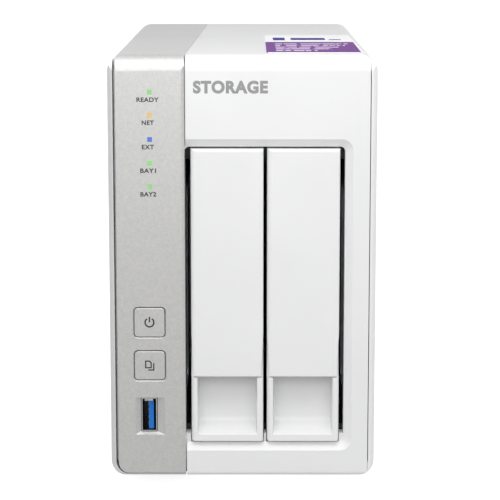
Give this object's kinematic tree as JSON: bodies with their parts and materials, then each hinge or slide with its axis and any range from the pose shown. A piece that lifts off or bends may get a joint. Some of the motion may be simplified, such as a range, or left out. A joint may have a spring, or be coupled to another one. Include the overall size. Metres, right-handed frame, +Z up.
{
  "type": "network attached storage",
  "caption": "Upright desktop network storage box with sliding drive trays behind tall hinged handles, a control strip with lamps, buttons and a port, and a rear fan.",
  "frame": {"origin": "centre of the footprint, on the surface that the feet stand on", "axes": "+X to the right seen from the front, +Y to the back, +Z up"},
  "size_m": [0.102, 0.219, 0.1685],
  "materials": {
    "silver_shell": "satin metallic paint",
    "white_shell": "satin moulded",
    "strip_silver": "satin metallic",
    "label_paper": "printed",
    "lens_green": "glowing",
    "lens_amber": "glowing",
    "lens_blue": "glowing",
    "circuit_board": "solder mask",
    "chip_black": "moulded",
    "black_plastic": "moulded",
    "grey_plastic": "moulded",
    "port_blue": "moulded",
    "port_steel": "plated",
    "sheet_steel": "zinc plated",
    "panel_paint": "fine powder coat",
    "screw_steel": "nickel plated",
    "heatsink_alloy": "anodised",
    "drive_casting": "cast",
    "drive_steel": "brushed",
    "capacitor_can": "sleeved can",
    "cell_steel": "stamped",
    "foot_rubber": "matt",
    "lead_rubber": "sleeved",
    "ribbon_white": "flat cable"
  },
  "bodies": {
    "chassis": {"left_shell": "silver_shell", "right_shell": "white_shell", "front_bezel": "white_shell", "control_strip": "strip_silver", "top_label": "label_paper", "rubber_feet": "foot_rubber", "green_lenses": "lens_green", "amber_lens": "lens_amber", "blue_lens": "lens_blue", "front_board": "circuit_board", "front_switches": "black_plastic", "port_shells": "port_steel", "port_tongues": "port_blue", "front_ribbon": "ribbon_white", "main_board": "circuit_board", "processor": "chip_black", "heatsink": "heatsink_alloy", "memory_chips": "chip_black", "small_chips": "chip_black", "lan_jacks": "port_steel", "power_jack": "black_plastic", "reset_switch": "black_plastic", "cell_holder": "black_plastic", "coin_cell": "cell_steel", "capacitors": "capacitor_can", "link_socket": "black_plastic", "inner_screws": "screw_steel", "drive_cage": "sheet_steel", "cage_cover": "sheet_steel", "lower_guides": "black_plastic", "upper_guides": "black_plastic", "backplane": "circuit_board", "drive_sockets": "black_plastic", "rear_panel": "panel_paint", "fan_frame": "black_plastic", "fan_screws": "screw_steel", "case_screws": "screw_steel", "fan_lead": "lead_rubber"},
    "tray_1": {"tray_1_carrier": "grey_plastic", "tray_1_front": "white_shell", "tray_1_pin": "screw_steel", "drive_1_case": "drive_casting", "drive_1_lid": "drive_steel", "drive_1_board": "circuit_board", "drive_1_screws": "screw_steel"},
    "handle_1": {"tray_1_handle": "white_shell"},
    "tray_2": {"tray_2_carrier": "grey_plastic", "tray_2_front": "white_shell", "tray_2_pin": "screw_steel", "drive_2_case": "drive_casting", "drive_2_lid": "drive_steel", "drive_2_board": "circuit_board", "drive_2_screws": "screw_steel"},
    "handle_2": {"tray_2_handle": "white_shell"},
    "power_button": {"power_button": "strip_silver", "power_plunger": "black_plastic"},
    "copy_button": {"copy_button": "strip_silver", "copy_plunger": "black_plastic"},
    "reset_button": {"reset_button": "grey_plastic"},
    "fan_rotor": {"fan_rotor": "black_plastic"}
  },
  "joints": [
    {"name": "tray_1_slide", "type": "slide", "parent": "chassis", "child": "tray_1", "axis": [0, -1, 0], "range_m": [0, 0.165]},
    {"name": "handle_1_hinge", "type": "hinge", "parent": "tray_1", "child": "handle_1", "pos_m": [-0.0059, -0.1065, 0.128], "axis": [-1, 0, 0], "range_deg": [0, 30]},
    {"name": "tray_2_slide", "type": "slide", "parent": "chassis", "child": "tray_2", "axis": [0, -1, 0], "range_m": [0, 0.165]},
    {"name": "handle_2_hinge", "type": "hinge", "parent": "tray_2", "child": "handle_2", "pos_m": [0.0232, -0.1065, 0.128], "axis": [-1, 0, 0], "range_deg": [0, 30]},
    {"name": "power_button_press", "type": "slide", "parent": "chassis", "child": "power_button", "axis": [0, 1, 0], "range_m": [0, 0.0008], "stiffness_N_per_m": 600},
    {"name": "copy_button_press", "type": "slide", "parent": "chassis", "child": "copy_button", "axis": [0, 1, 0], "range_m": [0, 0.0008], "stiffness_N_per_m": 600},
    {"name": "reset_button_press", "type": "slide", "parent": "chassis", "child": "reset_button", "axis": [0, -1, 0], "range_m": [0, 0.001], "stiffness_N_per_m": 400},
    {"name": "fan_spin", "type": "hinge", "parent": "chassis", "child": "fan_rotor", "pos_m": [0.008, 0.098, 0.11], "axis": [0, 1, 0], "continuous": true}
  ]
}
